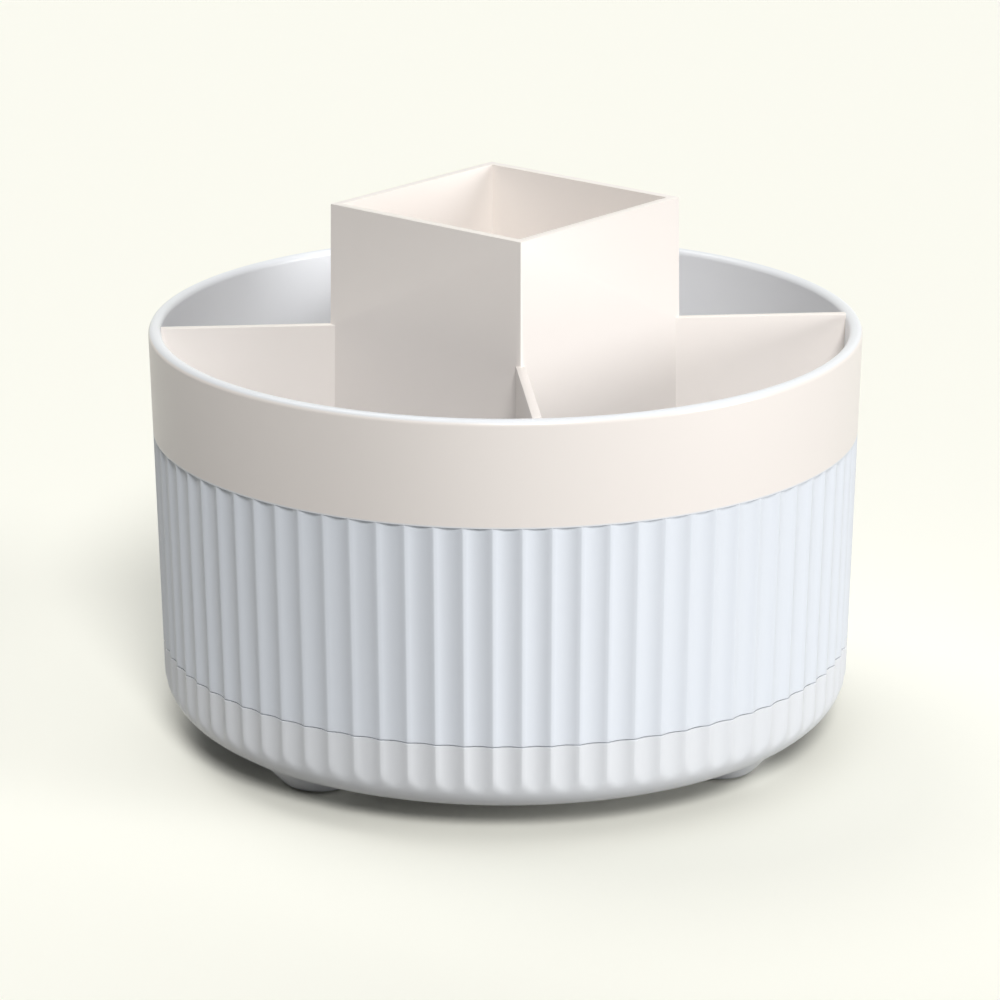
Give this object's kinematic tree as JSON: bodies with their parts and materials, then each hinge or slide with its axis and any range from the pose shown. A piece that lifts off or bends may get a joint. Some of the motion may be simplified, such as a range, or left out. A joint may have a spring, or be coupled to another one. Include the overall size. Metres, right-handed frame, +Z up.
{
  "type": "rotating makeup organizer",
  "caption": "Round white desk organizer: a fluted drum with a square centre tube and radial dividers turns on a fluted base with moulded feet.",
  "frame": {"origin": "centre of the plane that the feet stand on", "axes": "+Z up along the axis the drum turns about; -Y is the pictured front, the fins lie on X and Y"},
  "size_m": [0.15, 0.15, 0.115],
  "materials": {
    "white_plastic": "moulded white plastic, soft gloss",
    "cap_plastic": "moulded white plastic, fine matt",
    "race_steel": "zinc plated steel",
    "ball_steel": "polished steel",
    "screw_steel": "zinc plated steel",
    "cage_plastic": "natural moulded plastic",
    "bush_plastic": "natural acetal",
    "pad_rubber": "pale soft rubber"
  },
  "bodies": {
    "base": {"base_pan": "white_plastic", "lower_race": "race_steel", "lower_race_screws": "screw_steel", "pivot_bush": "bush_plastic", "bottom_cap": "cap_plastic", "foot_pad_front_left": "pad_rubber", "foot_pad_front_right": "pad_rubber", "foot_pad_rear_left": "pad_rubber", "foot_pad_rear_right": "pad_rubber"},
    "cage": {"ball_cage": "cage_plastic", "bearing_balls": "ball_steel"},
    "drum": {"drum_shell": "white_plastic", "divider_insert": "white_plastic", "insert_screws": "screw_steel", "upper_race": "race_steel", "upper_race_screws": "screw_steel", "retaining_washer": "screw_steel", "pivot_screw": "screw_steel"}
  },
  "joints": [
    {"name": "drum_spin", "type": "hinge", "parent": "base", "child": "drum", "pos_m": [0, 0, 0.02], "axis": [0, 0, 1], "continuous": true},
    {"name": "cage_spin", "type": "hinge", "parent": "base", "child": "cage", "pos_m": [0, 0, 0.015], "axis": [0, 0, 1], "continuous": true}
  ],
  "couplings": [
    {"joint": "cage_spin", "follows": "drum_spin", "ratio": 0.5}
  ]
}
